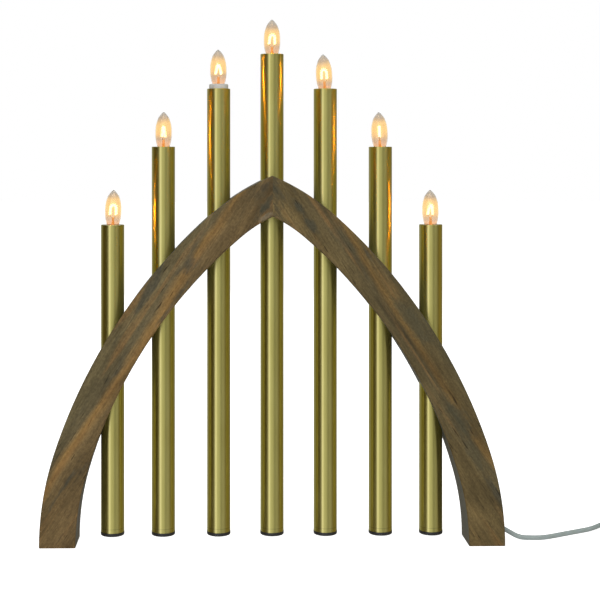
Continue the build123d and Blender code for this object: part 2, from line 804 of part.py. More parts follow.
# Plug: a flat moulded body with a ribbed strain relief, and two pins set in its face
plug_place = Vector(tail_route[-1]) + Vector(relief_length, 0, 0)
plug_side = Plane(plug_place, x_dir=(1, 0, 0), z_dir=(0, -1, 0))
plug_face = Plane(plug_place + Vector(plug_length, 0, 0), x_dir=(0, 1, 0), z_dir=(1, 0, 0))
with BuildPart() as plug_body:
    with BuildSketch(Plane(plug_place)) as plug_plan:
        with BuildLine():
            Polyline(
                (0, plug_rear_width / 2),
                (plug_waist_length, plug_waist_width / 2),
                (plug_length - plug_face_length, plug_width / 2),
                (plug_length, plug_width / 2),
                (plug_length, -plug_width / 2),
                (plug_length - plug_face_length, -plug_width / 2),
                (plug_waist_length, -plug_waist_width / 2),
                (0, -plug_rear_width / 2),
                close=True,
            )
        make_face()
        fillet(plug_plan.vertices(), plug_corner)
    extrude(amount=plug_height / 2, both=True)
    fillet(plug_body.faces().filter_by(Axis.Z).edges(), plug_edge_rounding)
    with BuildSketch(plug_side):
        with BuildLine():
            Polyline(
                (0, plug_rear_height / 2),
                (plug_waist_length, plug_height / 2),
                (plug_length, plug_height / 2),
                (plug_length, -plug_height / 2),
                (plug_waist_length, -plug_height / 2),
                (0, -plug_rear_height / 2),
                close=True,
            )
        make_face()
    extrude(amount=plug_width, both=True, mode=Mode.INTERSECT)
    with BuildSketch(plug_side):
        with BuildLine():
            Polyline(
                (-relief_length, 0),
                (-relief_length, relief_rear_diameter / 2),
                (0, relief_front_diameter / 2),
                (plug_corner, relief_front_diameter / 2),
                (plug_corner, 0),
                close=True,
            )
        make_face()
        for ring in range(relief_ring_count):
            ring_share = (ring + 1) / (relief_ring_count + 1)
            ring_diameter = relief_front_diameter - (relief_front_diameter - relief_rear_diameter) * ring_share
            with Locations((-relief_length * ring_share, ring_diameter / 2)):
                Rectangle(relief_ring_width, 2 * relief_ring_depth, mode=Mode.SUBTRACT)
    revolve(axis=Axis(plug_place, (1, 0, 0)))
    with BuildSketch(plug_face):
        with GridLocations(pin_spacing, 0, 2, 1):
            Circle(pin_sleeve_diameter / 2 + glue_gap)
    extrude(amount=-pin_seat_depth - glue_gap, mode=Mode.SUBTRACT)
write(plug_body.part, "plug_body")

with BuildPart() as plug_pins:
    with BuildSketch(plug_face.offset(-pin_seat_depth)):
        with GridLocations(pin_spacing, 0, 2, 1):
            Circle(pin_sleeve_diameter / 2)
    extrude(amount=pin_seat_depth + pin_sleeve_length)
    with BuildSketch(plug_face.offset(pin_sleeve_length)):
        with GridLocations(pin_spacing, 0, 2, 1):
            Circle(pin_diameter / 2)
    extrude(amount=pin_length - pin_sleeve_length)
    fillet(plug_pins.edges().group_by(Axis.X)[-1], pin_rounding)
write(plug_pins.part, "plug_pins")

cord_section = pi * cord_radius**2
print("cord lengths", lead_length, coil_length, tail_length, "in all", lead_length + coil_length + tail_length)
print("bend radii", [round(radius) for radius in lead_radii], [round(radius) for radius in tail_radii])
print("volume shares", cord_lead.part.volume / (cord_section * lead_length))
print("volume shares", cord_coil.part.volume / (cord_section * coil_length))
print("least gap in the coil", least_gap(coil_path, cord_diameter))
print("coil exit", coil_path @ 1, coil_path % 1, "cord end", cord_end, cord_exit)
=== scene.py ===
"""Electric candle arch with its seven lamps lit. Metres, +Z up, the front faces -Y."""

import math

import bmesh
import bpy
from mathutils import Matrix, Vector


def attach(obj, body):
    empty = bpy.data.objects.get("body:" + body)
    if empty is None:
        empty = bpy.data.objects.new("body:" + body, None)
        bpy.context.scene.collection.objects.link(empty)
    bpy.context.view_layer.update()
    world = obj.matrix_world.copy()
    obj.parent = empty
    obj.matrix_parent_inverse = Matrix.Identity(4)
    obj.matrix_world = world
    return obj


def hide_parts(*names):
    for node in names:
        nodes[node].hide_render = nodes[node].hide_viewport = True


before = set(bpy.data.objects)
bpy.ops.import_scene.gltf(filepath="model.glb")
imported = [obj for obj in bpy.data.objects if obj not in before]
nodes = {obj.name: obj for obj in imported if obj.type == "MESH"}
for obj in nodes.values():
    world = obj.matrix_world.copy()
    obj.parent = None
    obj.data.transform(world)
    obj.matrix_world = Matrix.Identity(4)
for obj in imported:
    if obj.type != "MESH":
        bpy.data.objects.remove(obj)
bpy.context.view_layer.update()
scene = bpy.context.scene

# Photographer's table: a white floor in a white room, a tall soft light on the left of the camera and
# broad ones on its right, above and behind. A wall of soft tones round it all is what the brass mirrors.
scene.view_settings.view_transform = "Standard"

camera_data = bpy.data.cameras.new("camera")
camera_data.sensor_width = 36
camera_data.lens = 81.4
camera_data.shift_x = 0.0883
camera_data.shift_y = -0.2358
camera = bpy.data.objects.new("camera", camera_data)
camera.location = (-0.0474, -1.2896, 0.3638)
camera.rotation_euler = (math.pi / 2, 0, math.radians(-1.05))
scene.collection.objects.link(camera)
scene.camera = camera


def set_inputs(tree, node, inputs):
    """Set a node's inputs, each to a value or from another node's output."""
    for name, value in inputs.items():
        if isinstance(value, bpy.types.NodeSocket):
            tree.links.new(value, node.inputs[name])
        else:
            node.inputs[name].default_value = value


def new_node(tree, kind, inputs=None, **settings):
    """A node with its settings made and its inputs set."""
    node = tree.nodes.new(kind)
    for name, value in settings.items():
        setattr(node, name, value)
    set_inputs(tree, node, inputs or {})
    return node


def maths(tree, operation, *values):
    """The result of one operation on numbers and other nodes' outputs."""
    return new_node(tree, "ShaderNodeMath", dict(enumerate(values)), operation=operation).outputs[0]


white = (1, 1, 1, 1)
room_light = 0.42
world = bpy.data.worlds.new("white_room")
world.use_nodes = True
scene.world = world
tree = world.node_tree
tree.nodes.clear()
ray = new_node(tree, "ShaderNodeLightPath").outputs
shown = maths(tree, "MAXIMUM", ray["Is Camera Ray"], ray["Is Glossy Ray"])
shown = maths(tree, "MAXIMUM", shown, ray["Is Transmission Ray"])
lit = new_node(tree, "ShaderNodeBackground", {"Color": white, "Strength": room_light}).outputs[0]
seen = new_node(tree, "ShaderNodeBackground", {"Color": white, "Strength": 1.0}).outputs[0]
either = new_node(tree, "ShaderNodeMixShader", {0: shown, 1: lit, 2: seen}).outputs[0]
new_node(tree, "ShaderNodeOutputWorld", {"Surface": either})


def area_lamp(name, place, aim, width, height, power, colour):
    lamp = bpy.data.lights.new(name, "AREA")
    lamp.shape = "RECTANGLE"
    lamp.size = width
    lamp.size_y = height
    lamp.energy = power
    lamp.color = colour
    stand = bpy.data.objects.new(name, lamp)
    stand.location = place
    stand.rotation_euler = (Vector(aim) - Vector(place)).to_track_quat("-Z", "Y").to_euler()
    stand.visible_camera = False
    stand.visible_glossy = False
    stand.visible_transmission = False
    scene.collection.objects.link(stand)


area_lamp("strip_light", (-0.82, -1.75, 0.40), (0, 0, 0.25), 0.22, 2.2, 19, (1, 0.98, 0.94))
area_lamp("broad_fill", (1.1, -1.9, 0.9), (0, 0, 0.25), 1.6, 1.6, 14, (1, 0.98, 0.95))
area_lamp("top_fill", (0.0, -0.3, 1.7), (0, 0, 0.2), 1.8, 1.4, 15, (0.95, 0.98, 1))
area_lamp("back_fill", (-0.5, 2.0, 1.0), (0, 0, 0.25), 1.8, 1.6, 12, (1, 0.99, 0.97))


def new_material(name):
    """A material, its node tree and its surface."""
    material = bpy.data.materials.new(name)
    material.use_nodes = True
    tree = material.node_tree
    return material, tree, tree.nodes["Principled BSDF"]


def axis(tree, vector, name):
    return new_node(tree, "ShaderNodeSeparateXYZ", {0: vector}).outputs[name]


def ramp(tree, factor, *stops, smooth=False):
    """A colour ramp of (place, colour) stops, where a single number is a grey."""
    node = new_node(tree, "ShaderNodeValToRGB", {"Fac": factor})
    band = node.color_ramp
    band.interpolation = "EASE" if smooth else "LINEAR"
    while len(band.elements) < len(stops):
        band.elements.new(1)
    for element, (place, colour) in zip(band.elements, stops):
        element.position = place
        element.color = (*colour, 1) if isinstance(colour, tuple) else (colour, colour, colour, 1)
    return node.outputs["Color"]


def finished_mesh(name, shape):
    mesh = bpy.data.meshes.new(name)
    shape.to_mesh(mesh)
    shape.free()
    return mesh


def new_piece(name, mesh, *materials):
    for material in materials:
        mesh.materials.append(material)
    piece = bpy.data.objects.new(name, mesh)
    scene.collection.objects.link(piece)
    return piece


# The wall shows only in gloss: (degrees to the right of the camera, colour)
wall_tones = [
    (-178, (0.30, 0.30, 0.25)),
    (-130, (0.34, 0.34, 0.29)),
    (-114, (0.20, 0.18, 0.12)),
    (-102, (0.098, 0.074, 0.024)),
    (-64, (0.058, 0.044, 0.020)),
    (-51, (0.115, 0.100, 0.075)),
    (-44, (0.34, 0.33, 0.34)),
    (-37, (0.82, 0.82, 1.03)),
    (-30, (1.25, 1.25, 1.62)),
    (-26, (1.22, 1.22, 1.56)),
    (-21, (0.84, 0.85, 0.96)),
    (-18, (0.66, 0.67, 0.70)),
    (-6, (0.58, 0.59, 0.60)),
    (13, (0.47, 0.48, 0.49)),
    (18, (0.27, 0.275, 0.26)),
    (32, (0.255, 0.26, 0.25)),
    (41, (0.34, 0.34, 0.34)),
    (55, (0.34, 0.335, 0.32)),
    (64, (0.26, 0.245, 0.21)),
    (76, (0.19, 0.160, 0.10)),
    (98, (0.29, 0.230, 0.080)),
    (134, (0.23, 0.205, 0.130)),
    (178, (0.30, 0.30, 0.25)),
]
wall_radius, wall_low, wall_high = 2.4, -2.4, 3.0
wall_end = 178
wall_steps = 120
wall_shape = bmesh.new()
wall_uv = wall_shape.loops.layers.uv.new("UVMap")
wall_rows = []
for step in range(wall_steps + 1):
    turn = math.radians(-wall_end + 2 * wall_end * step / wall_steps)
    x, y = wall_radius * math.sin(turn), -wall_radius * math.cos(turn)
    wall_rows.append([wall_shape.verts.new((x, y, height)) for height in (wall_low, wall_high)])
for step, (before, after) in enumerate(zip(wall_rows, wall_rows[1:])):
    face = wall_shape.faces.new((before[0], after[0], after[1], before[1]))
    for loop, place in zip(face.loops, ((step, 0), (step + 1, 0), (step + 1, 1), (step, 1))):
        loop[wall_uv].uv = (place[0] / wall_steps, place[1])
wall_paint, tree, _ = new_material("mirrored_wall")
tree.nodes.clear()
round_wall = axis(tree, new_node(tree, "ShaderNodeTexCoord").outputs["UV"], "X")
tones = ramp(tree, round_wall, *[((turn + wall_end) / (2 * wall_end), colour) for turn, colour in wall_tones])
glow = new_node(tree, "ShaderNodeEmission", {"Color": tones, "Strength": 1.0}).outputs[0]
new_node(tree, "ShaderNodeOutputMaterial", {"Surface": glow})
mirrored_wall = new_piece("mirrored_wall", finished_mesh("mirrored_wall", wall_shape), wall_paint)
mirrored_wall.visible_camera = False
mirrored_wall.visible_diffuse = False
mirrored_wall.visible_transmission = False
mirrored_wall.visible_shadow = False

floor_mesh = bpy.data.meshes.new("floor")
floor_mesh.from_pydata([(-7, -4, 0), (7, -4, 0), (7, 10, 0), (-7, 10, 0)], [], [(0, 1, 2, 3)])
floor_paint, tree, surface = new_material("floor_white")
ray = new_node(tree, "ShaderNodeLightPath").outputs
shown = maths(tree, "MAXIMUM", ray["Is Camera Ray"], ray["Is Transmission Ray"])
whiteness = new_node(tree, "ShaderNodeMapRange", {"Value": shown, "To Min": 0.20, "To Max": 0.85})
floor_finish = {
    "Base Color": (0.62, 0.62, 0.62, 1),
    "Roughness": 1,
    "Specular IOR Level": 0,
    "Emission Color": white,
    "Emission Strength": whiteness.outputs["Result"],
}
set_inputs(tree, surface, floor_finish)
floor = new_piece("floor", floor_mesh, floor_paint)
floor.visible_glossy = False

# Wooden halves: softwood boards sawn to a curve with the grain along the leg, stained grey-brown and
# matt, glued at the mitre over two dowels. A thin strip closes the wiring groove in each back.


def mark_creases(shape, crease):
    """Smooth the edges that turn by less than the crease, in degrees, and keep the others sharp."""
    for edge in shape.edges:
        edge.smooth = edge.calc_face_angle(math.pi) < math.radians(crease)


def place_piece(piece, body, slot, *replaced):
    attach(piece, body)
    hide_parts(*replaced)


def dressed_copy(name, crease, material, slot):
    """A finished piece of the arch, made from the CAD node with its triangles joined."""
    mesh = nodes[name].data.copy()
    mesh.name = name
    shape = bmesh.new()
    shape.from_mesh(mesh)
    bmesh.ops.remove_doubles(shape, verts=shape.verts, dist=1e-6)
    for face in shape.faces:
        face.smooth = True
    mark_creases(shape, crease)
    shape.to_mesh(mesh)
    shape.free()
    if mesh.attributes.get("custom_normal"):
        mesh.attributes.remove(mesh.attributes["custom_normal"])
    mesh.materials.clear()
    piece = new_piece(f"{name}_dressed", mesh, material)
    place_piece(piece, "arch", slot, name)
    return piece


def vector_maths(tree, operation, *values):
    node = new_node(tree, "ShaderNodeVectorMath", dict(enumerate(values)), operation=operation)
    return node.outputs["Value" if operation == "LENGTH" else "Vector"]


def noise(tree, place, scale, detail, roughness=0.5, distortion=0.0):
    size = {"Vector": place, "Scale": scale, "Detail": detail}
    character = {"Roughness": roughness, "Distortion": distortion}
    return new_node(tree, "ShaderNodeTexNoise", {**size, **character}).outputs["Fac"]


def scaled(tree, value, low, high):
    """A value that runs from 0 at low to 1 at high."""
    limits = {"Value": value, "From Min": low, "From Max": high, "To Min": 0.0, "To Max": 1.0}
    return new_node(tree, "ShaderNodeMapRange", limits).outputs["Result"]


def mixed(tree, kind, factor, first, second):
    """Two colours mixed or multiplied. A mixing node's colours share their names, so they go by number."""
    node = new_node(tree, "ShaderNodeMix", data_type="RGBA", blend_type=kind)
    set_inputs(tree, node, {0: factor, 6: first, 7: second})
    return node.outputs[2]


warm_streak = (0.205, 0.112, 0.038, 1)
cold_stain = (0.052, 0.049, 0.033, 1)
mitre_stain = (0.056, 0.048, 0.027, 1)
edge_face_grey = (0.100, 0.104, 0.090, 1)
grain_wander = 0.024
mitre_reach = 0.045
mark_core, mark_edge = 1.2, 2.0
mark_raggedness = 1.6
sawn_crease = 20


def stained_wood(name, grain_turn, shift, bands, marks):
    """Stained softwood with its bands and marks. Its grain leans by grain_turn degrees from +X to +Z."""
    wood, tree, surface = new_material(name)
    coordinates = new_node(tree, "ShaderNodeTexCoord").outputs
    place = coordinates["Object"]

    def leant(vector, degrees):
        turn = {"Vector": vector, "Rotation": (0, math.radians(degrees), 0)}
        return new_node(tree, "ShaderNodeMapping", turn).outputs["Vector"]

    turned = leant(place, grain_turn)
    along = vector_maths(tree, "ADD", turned, shift)

    def grain_noise(scales, detail, roughness, distortion=0.0):
        stretched = vector_maths(tree, "MULTIPLY", along, scales)
        return noise(tree, stretched, 1.0, detail, roughness, distortion)

    wander = grain_noise((7, 22, 26), 3, 0.55, 0.3)
    shade = grain_noise((12, 40, 60), 4, 0.6, 0.5)
    streak = grain_noise((6, 60, 105), 3, 0.5, 0.25)
    stain = grain_noise((11, 44, 66), 4, 0.6, 0.6)
    patch = grain_noise((46, 90, 120), 3, 0.6, 0.8)
    ragged = grain_noise((110, 160, 220), 3, 0.6, 0.6)
    slit = grain_noise((48, 260, 430), 2, 0.5)
    fibre = grain_noise((40, 500, 820), 3, 0.6)
    mottle = grain_noise((380, 520, 620), 3, 0.6)

    depth = maths(tree, "ABSOLUTE", axis(tree, turned, "Z"))
    depth = maths(tree, "MULTIPLY_ADD", wander, grain_wander, depth)
    first, last = bands[0][0], bands[-1][0]
    stops = [((reach - first) / (last - first), colour) for reach, colour in bands]
    base = ramp(tree, scaled(tree, depth, first + grain_wander / 2, last + grain_wander / 2), *stops)
    base = mixed(tree, "MULTIPLY", 1.0, base, ramp(tree, shade, (0.30, 0.60), (0.70, 1.38)))
    warm = ramp(tree, streak, (0.55, 0), (0.70, 0.55), smooth=True)
    base = mixed(tree, "MIX", warm, base, warm_streak)
    cold = ramp(tree, stain, (0.55, 0), (0.70, 0.80), smooth=True)
    base = mixed(tree, "MIX", cold, base, cold_stain)

    across = maths(tree, "ABSOLUTE", axis(tree, place, "X"))
    near_mitre = ramp(tree, scaled(tree, across, 0.0, mitre_reach), (0.0, 0.85), (0.35, 0.45), (1.0, 0))
    patches = ramp(tree, patch, (0.46, 0), (0.60, 1), smooth=True)
    near_mitre = mixed(tree, "MULTIPLY", 1.0, near_mitre, patches)
    base = mixed(tree, "MIX", near_mitre, base, mitre_stain)

    for x, z, length, width, lean, colour, strength in marks:
        away = leant(vector_maths(tree, "SUBTRACT", place, (x, 0, z)), lean)
        away = vector_maths(tree, "MULTIPLY", away, (1 / length, 0, 1 / width))
        away = maths(tree, "MULTIPLY_ADD", ragged, mark_raggedness, vector_maths(tree, "LENGTH", away))
        inside = scaled(tree, away, mark_edge, mark_core)
        spot = ramp(tree, inside, (0.0, 0), (1.0, strength), smooth=True)
        base = mixed(tree, "MIX", spot, base, (*colour, 1))

    base = mixed(tree, "MULTIPLY", 1.0, base, ramp(tree, mottle, (0.3, 0.76), (0.7, 1.20)))
    base = mixed(tree, "MULTIPLY", 1.0, base, ramp(tree, fibre, (0.3, 0.82), (0.7, 1.16)))
    base = mixed(tree, "MULTIPLY", 1.0, base, ramp(tree, slit, (0.67, 1), (0.74, 0.34)))

    # Faces that turn away from the front and the back are mixed towards a grey.
    facing = maths(tree, "ABSOLUTE", axis(tree, coordinates["Normal"], "Y"))
    edge_face_mix = ramp(tree, facing, (0.35, 0.72), (0.65, 0))
    relief = maths(tree, "MULTIPLY_ADD", fibre, 0.6, mottle)
    raised = new_node(tree, "ShaderNodeBump", {"Height": relief, "Strength": 0.3, "Distance": 0.0004})
    finish = {
        "Base Color": mixed(tree, "MIX", edge_face_mix, base, edge_face_grey),
        "Roughness": ramp(tree, fibre, (0.2, 0.80), (0.8, 0.64)),
        "Specular IOR Level": 0.16,
        "Normal": raised.outputs["Normal"],
    }
    set_inputs(tree, surface, finish)
    return wood


# Bands lie along the grain: (distance from the middle of the arch's foot across the grain, colour)
left_bands = [
    (0.150, (0.136, 0.084, 0.031)),
    (0.168, (0.130, 0.085, 0.036)),
    (0.186, (0.104, 0.069, 0.028)),
    (0.199, (0.112, 0.076, 0.032)),
    (0.206, (0.182, 0.106, 0.034)),
    (0.212, (0.108, 0.084, 0.041)),
    (0.224, (0.110, 0.087, 0.041)),
    (0.238, (0.092, 0.071, 0.032)),
]
right_bands = [
    (0.150, (0.098, 0.066, 0.026)),
    (0.170, (0.128, 0.089, 0.035)),
    (0.192, (0.102, 0.073, 0.029)),
    (0.205, (0.090, 0.067, 0.029)),
    (0.212, (0.074, 0.058, 0.027)),
    (0.217, (0.135, 0.082, 0.026)),
    (0.222, (0.092, 0.065, 0.025)),
    (0.238, (0.068, 0.055, 0.026)),
]
# Marks are uneven spots of stain: (x, z, half length, half width, lean in degrees, colour, strength)
old_stain = (0.046, 0.044, 0.028)
left_marks = [
    (-0.0068, 0.3175, 0.0092, 0.0042, 52, old_stain, 0.90),
    (-0.0066, 0.3376, 0.0065, 0.0036, 30, (0.052, 0.042, 0.026), 0.55),
    (-0.0336, 0.3156, 0.0200, 0.0080, 45, (0.085, 0.058, 0.024), 0.60),
    (-0.0072, 0.3092, 0.0085, 0.0026, 33, (0.190, 0.150, 0.092), 0.65),
]
right_marks = [
    (0.0250, 0.3175, 0.0115, 0.0034, -52, old_stain, 0.85),
    (0.0367, 0.3007, 0.0120, 0.0040, -50, old_stain, 0.75),
    (0.0020, 0.3330, 0.0100, 0.0026, 120, old_stain, 0.60),
    (0.0647, 0.2884, 0.0200, 0.0060, -48, (0.062, 0.055, 0.030), 0.55),
    (0.1306, 0.2105, 0.0300, 0.0080, -52, (0.058, 0.053, 0.030), 0.65),
    (0.1757, 0.1204, 0.0260, 0.0070, -55, (0.056, 0.052, 0.030), 0.75),
    (0.1888, 0.0857, 0.0220, 0.0060, -63, (0.064, 0.057, 0.032), 0.60),
]
left_wood = stained_wood("stained_wood_left", 57, (0.13, 0.02, 0.31), left_bands, left_marks)
right_wood = stained_wood("stained_wood_right", 123, (0.57, 0.05, 0.12), right_bands, right_marks)
for side, wood in (("left", left_wood), ("right", right_wood)):
    dressed_copy(f"arch_{side}_half", sawn_crease, wood, "stained_wood")
    nodes[f"back_strip_{side}"].material_slots[0].material = wood
nodes["apex_dowels"].material_slots[0].material = left_wood

# Candle tubes: drawn brass tube with a fine satin polish, cut square, the rim broken, pushed through
# the bored arch. Lower ends are closed with black moulded plugs.
tube_places = [-0.1513, -0.1032, -0.0507, 0.0, 0.0507, 0.1032, 0.1513]
tube_tops = [0.301, 0.375, 0.430, 0.463, 0.430, 0.375, 0.301]
tube_foot = 0.0105
tube_radius = 0.011
tube_bore = 0.010
tube_steps = 96
turned_crease = 32


def ring(shape, x, radii, height):
    """Corners round an upright axis at x, one for each of the radii."""
    corners = []
    for step, radius in enumerate(radii):
        around = 2 * math.pi * step / len(radii)
        corners.append(shape.verts.new((x + radius * math.cos(around), radius * math.sin(around), height)))
    return corners


def turned_mesh(name, outline, x, height, steps, closed):
    """A round piece turned from (radius, height) points about an upright axis. u runs round it, v along."""
    shape = bmesh.new()
    rings = []
    lengths = [0.0]
    for radius, level in outline:
        rings.append(ring(shape, x, [radius] * (steps if radius > 0 else 1), height + level))
    for low, high in zip(outline, outline[1:]):
        lengths.append(lengths[-1] + math.dist(low, high))
    rows = list(range(len(outline)))
    pairs = list(zip(rows, rows[1:]))
    if closed:
        pairs.append((rows[-1], 0))
    unwrap = shape.loops.layers.uv.new("UVMap")
    for low, high in pairs:
        for step in range(steps):
            verts, places = [], []
            for row, turn in ((low, step), (low, step + 1), (high, step + 1), (high, step)):
                vert = rings[row][turn % len(rings[row])]
                if vert not in verts:
                    verts.append(vert)
                    places.append((turn / steps, lengths[row]))
            if len(verts) > 2:
                face = shape.faces.new(verts)
                face.smooth = True
                for loop, spot in zip(face.loops, places):
                    loop[unwrap].uv = spot
    bmesh.ops.recalc_face_normals(shape, faces=shape.faces)
    mark_creases(shape, turned_crease)
    return finished_mesh(name, shape)


brass, tree, surface = new_material("satin_brass")
unwrapped = new_node(tree, "ShaderNodeTexCoord").outputs["UV"]
polish = noise(tree, vector_maths(tree, "MULTIPLY", unwrapped, (150, 9, 1)), 1.0, 3, 0.6)
tarnish = noise(tree, vector_maths(tree, "MULTIPLY", unwrapped, (5, 14, 1)), 1.0, 3, 0.55)
metal = ramp(tree, tarnish, (0.30, (0.70, 0.625, 0.190)), (0.72, (0.75, 0.680, 0.225)), smooth=True)
metal = mixed(tree, "MULTIPLY", 0.5, metal, ramp(tree, polish, (0.3, 0.88), (0.7, 1.0)))
# The end plug's spigot has pressed a faint line into the tube, just above its foot. The line's shade is
# painted into the brass colour as a dark band.
foot_reach = 0.02
near_foot = maths(tree, "DIVIDE", axis(tree, unwrapped, "Y"), foot_reach)
pressed_line_shade = ramp(tree, near_foot, (0.215, 1), (0.24, 0.74), (0.265, 1))
round_tube = new_node(tree, "ShaderNodeTangent", direction_type="UV_MAP", uv_map="UVMap")
brass_finish = {
    "Base Color": mixed(tree, "MULTIPLY", 1.0, metal, pressed_line_shade),
    "Metallic": 1,
    "Roughness": ramp(tree, polish, (0.25, 0.31), (0.75, 0.34)),
    "Anisotropic": 1.0,
    "Anisotropic Rotation": 0.25,
    "Tangent": round_tube.outputs["Tangent"],
}
set_inputs(tree, surface, brass_finish)

lamplit_tubes = bpy.data.collections.new("lamplit_tubes")
rim = 0.00045
rim_turns = [math.radians(turn) for turn in (0, 22, 45, 68, 90)]
for number, (x, top) in enumerate(zip(tube_places, tube_tops), start=1):
    name = f"candle_tube_{number}"
    length = top - tube_foot
    outline = [(tube_bore, 0), (tube_radius, 0)]
    outline += [(tube_radius - rim + rim * math.cos(t), length - rim + rim * math.sin(t)) for t in rim_turns]
    outline += [(tube_bore + rim - rim * math.sin(t), length - rim + rim * math.cos(t)) for t in rim_turns]
    tube = new_piece(name, turned_mesh(name, outline, x, tube_foot, tube_steps, True), brass)
    place_piece(tube, "arch", "satin_brass", f"tube_{number}")
    lamplit_tubes.objects.link(tube)

speckle_depth = 0.0001


def speckled(name, scale, detail, colours, roughness, finish=None, relief=0.0):
    """A plain finish, finely speckled between two colours, with one roughness or between two."""
    material, tree, surface = new_material(name)
    speckle = noise(tree, new_node(tree, "ShaderNodeTexCoord").outputs["Object"], scale, detail)

    def between(low, high):
        return ramp(tree, speckle, (0.3, low), (0.7, high))

    rough = between(*roughness) if isinstance(roughness, tuple) else roughness
    set_inputs(tree, surface, {"Base Color": between(*colours), "Roughness": rough, **(finish or {})})
    if relief:
        bumps = {"Height": speckle, "Strength": relief, "Distance": speckle_depth}
        set_inputs(tree, surface, {"Normal": new_node(tree, "ShaderNodeBump", bumps).outputs["Normal"]})
    return material


black_plastic = speckled("black_plastic", 900.0, 2, (0.010, 0.022), (0.38, 0.52))
plug_flange = 0.0032
plug_radius = 0.0112
plug_round = 0.0009
plug_spigot = 0.009
spigot_radius = 0.00995
spigot_bore = 0.00835
plug_steps = 64
plug_outline = [(0, -plug_flange), (plug_radius - plug_round, -plug_flange)]
plug_outline += [
    (plug_radius - plug_round + plug_round * math.sin(t), plug_round - plug_flange - plug_round * math.cos(t))
    for t in rim_turns[1:]
]
plug_outline += [(plug_radius, 0), (spigot_radius, 0), (spigot_radius, plug_spigot)]
plug_outline += [(spigot_bore, plug_spigot), (spigot_bore, 0), (0, 0)]
end_plugs = bmesh.new()
for x in tube_places:
    end_plugs.from_mesh(turned_mesh("end_plug", plug_outline, x, tube_foot, plug_steps, False))
end_plug_piece = new_piece("end_plugs", finished_mesh("end_plugs", end_plugs), black_plastic)
place_piece(end_plug_piece, "arch", "black_plastic", "tube_end_plugs")

# Lampholders: pale moulded sleeves pushed into the tube tops, each with a threaded brass shell and a
# sprung centre contact. The third holder was never pushed quite home.
moulded_crease = 30
milky = {"Subsurface Weight": 0.1, "Subsurface Radius": (0.002, 0.0015, 0.001)}
holder_colours = ((0.42, 0.405, 0.37), (0.48, 0.465, 0.43))
holder_plastic = speckled("holder_plastic", 160.0, 3, holder_colours, (0.42, 0.55), milky)
bare_metal = {"Metallic": 1}
thread_colours = ((0.45, 0.36, 0.16), (0.68, 0.56, 0.28))
thread_brass = speckled("thread_brass", 400.0, 3, thread_colours, (0.24, 0.42), bare_metal)
for number in range(1, len(tube_places) + 1):
    dressed_copy(f"lamp_holder_{number}", moulded_crease, holder_plastic, "holder_plastic")
    nodes[f"centre_contact_{number}"].material_slots[0].material = thread_brass
nodes["screw_shells"].material_slots[0].material = thread_brass

# Bulbs: clear blown glass drawn to a pointed flame, a glass stem with two lead wires and a coiled
# filament hung between them, cemented into a brass screw cap. Each screws into its holder.
holder_lifts = [0, 0, 0.0044, 0, 0, 0, 0]
# The glass from its neck to its tip: (height above the tube's rim, radius)
glass_shape = [
    (-0.0095, 0.0043),
    (-0.0045, 0.0043),
    (-0.0015, 0.0050),
    (0.0011, 0.0061),
    (0.0049, 0.0071),
    (0.0093, 0.00765),
    (0.0130, 0.00772),
    (0.0170, 0.00760),
    (0.0205, 0.0072),
    (0.0240, 0.0063),
    (0.0271, 0.0052),
    (0.0294, 0.0037),
    (0.0310, 0.0024),
    (0.0320, 0.0014),
    (0.0326, 0.0007),
]
glass_tip = 0.0328
hollow_tip = 0.0315
hollow_shoulder = 0.0314
glass_wall = 0.0006
glass_steps = 64
glow_low, glow_high = -0.001, 0.034
glow_sway = -0.012


def eased_line(points, steps):
    """Points on a smooth curve through the given ones, steps to each span."""
    ends = [points[0], *points, points[-1]]
    line = []
    for span in zip(ends, ends[1:], ends[2:], ends[3:]):
        for step in range(steps):
            t = step / steps
            place = []
            for a, b, c, d in zip(*span):
                bend = (2 * a - 5 * b + 4 * c - d) * t**2 + (3 * b - a - 3 * c + d) * t**3
                place.append(0.5 * (2 * b + (c - a) * t + bend))
            line.append(tuple(place))
    return [*line, points[-1]]


outside = [(radius, level) for level, radius in eased_line(glass_shape, 4)]
outside_length = sum(math.dist(low, high) for low, high in zip(outside, outside[1:]))
inside = [
    (radius - glass_wall, min(level, hollow_shoulder)) for radius, level in outside if radius > 2 * glass_wall
]
glass_outline = [*outside, (0, glass_tip), (0, hollow_tip), *reversed(inside)]

bulb_glass, tree, surface = new_material("bulb_glass")
coordinates = new_node(tree, "ShaderNodeTexCoord").outputs
# The inner wall runs back from the tip to the neck, so its length folds over to the outer wall's
rise = maths(tree, "PINGPONG", axis(tree, coordinates["UV"], "Y"), outside_length)
sway = noise(tree, coordinates["Object"], 26.0, 1)
rise = scaled(tree, maths(tree, "MULTIPLY_ADD", sway, glow_sway, rise), glow_low, glow_high)
# Painted glow and shade: the clear glass is tinted, warm along its middle where the wire's light falls and
# greyer and darker towards the tip.
glow_and_shade_tint = ramp(
    tree,
    rise,
    (0.17, (0.84, 0.68, 0.55)),
    (0.28, (0.76, 0.65, 0.55)),
    (0.38, (0.77, 0.64, 0.50)),
    (0.55, (0.80, 0.67, 0.49)),
    (0.74, (0.79, 0.66, 0.50)),
    (0.84, (0.75, 0.65, 0.54)),
    (1.00, (0.68, 0.64, 0.58)),
)
# Painted glow: the glass itself gives off the wire's warm light, strongest along the middle of the flame and
# none at the tip.
painted_glow = ramp(
    tree,
    rise,
    (0.16, (0.05, 0.020, 0.003)),
    (0.28, (0.02, 0.010, 0.002)),
    (0.40, (0.11, 0.066, 0.012)),
    (0.56, (0.13, 0.082, 0.016)),
    (0.74, (0.11, 0.070, 0.014)),
    (0.88, (0, 0, 0)),
)
glass_finish = {
    "Base Color": glow_and_shade_tint,
    "Roughness": 0.0,
    "IOR": 1.46,
    "Transmission Weight": 1,
    "Emission Color": painted_glow,
    "Emission Strength": 1.0,
}
set_inputs(tree, surface, glass_finish)
